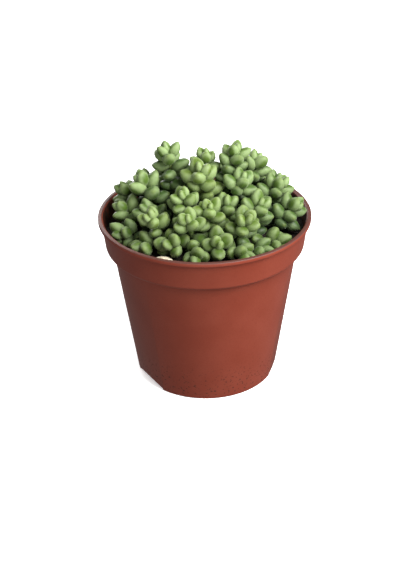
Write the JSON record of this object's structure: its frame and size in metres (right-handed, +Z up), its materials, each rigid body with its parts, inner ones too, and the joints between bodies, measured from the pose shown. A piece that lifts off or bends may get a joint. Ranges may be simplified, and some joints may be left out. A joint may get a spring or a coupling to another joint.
{
  "type": "potted burro's tail plant",
  "caption": "Small burro's tail succulent: a cushion of upright stems with plump pale green leaves, in dark soil in a tapered plastic nursery pot.",
  "frame": {"origin": "middle of the pot's foot, on the surface that the pot stands on", "axes": "+Z up along the pot's axis; -Y is the side that faces the viewer; +X is the viewer's right"},
  "size_m": [0.13, 0.13, 0.1513],
  "materials": {
    "terracotta_plastic": "smooth moulded plastic with a soft sheen, terracotta red-brown",
    "potting_soil": "loose, dark, matte potting soil",
    "leaf_green": "plump succulent leaf, mid green under a thin whitish bloom, satin",
    "dried_leaf": "dried leaf, pale straw, matte"
  },
  "bodies": {
    "root": {"pot": "terracotta_plastic", "soil": "potting_soil", "dry_leaf": "dried_leaf", "leafy_stem_01": "leaf_green", "leafy_stem_02": "leaf_green", "leafy_stem_03": "leaf_green", "leafy_stem_04": "leaf_green", "leafy_stem_05": "leaf_green", "leafy_stem_06": "leaf_green", "leafy_stem_07": "leaf_green", "leafy_stem_08": "leaf_green", "leafy_stem_09": "leaf_green", "leafy_stem_10": "leaf_green", "leafy_stem_11": "leaf_green", "leafy_stem_12": "leaf_green", "leafy_stem_13": "leaf_green", "leafy_stem_14": "leaf_green", "leafy_stem_15": "leaf_green", "leafy_stem_16": "leaf_green", "leafy_stem_17": "leaf_green", "leafy_stem_18": "leaf_green", "leafy_stem_19": "leaf_green", "leafy_stem_20": "leaf_green", "leafy_stem_21": "leaf_green", "leafy_stem_22": "leaf_green", "leafy_stem_23": "leaf_green", "leafy_stem_24": "leaf_green", "leafy_stem_25": "leaf_green", "leafy_stem_26": "leaf_green", "leafy_stem_27": "leaf_green", "leafy_stem_28": "leaf_green", "leafy_stem_29": "leaf_green", "leafy_stem_30": "leaf_green", "leafy_stem_31": "leaf_green", "leafy_stem_32": "leaf_green", "leafy_stem_33": "leaf_green", "leafy_stem_34": "leaf_green", "leafy_stem_35": "leaf_green", "leafy_stem_36": "leaf_green", "leafy_stem_37": "leaf_green"}
  },
  "joints": []
}
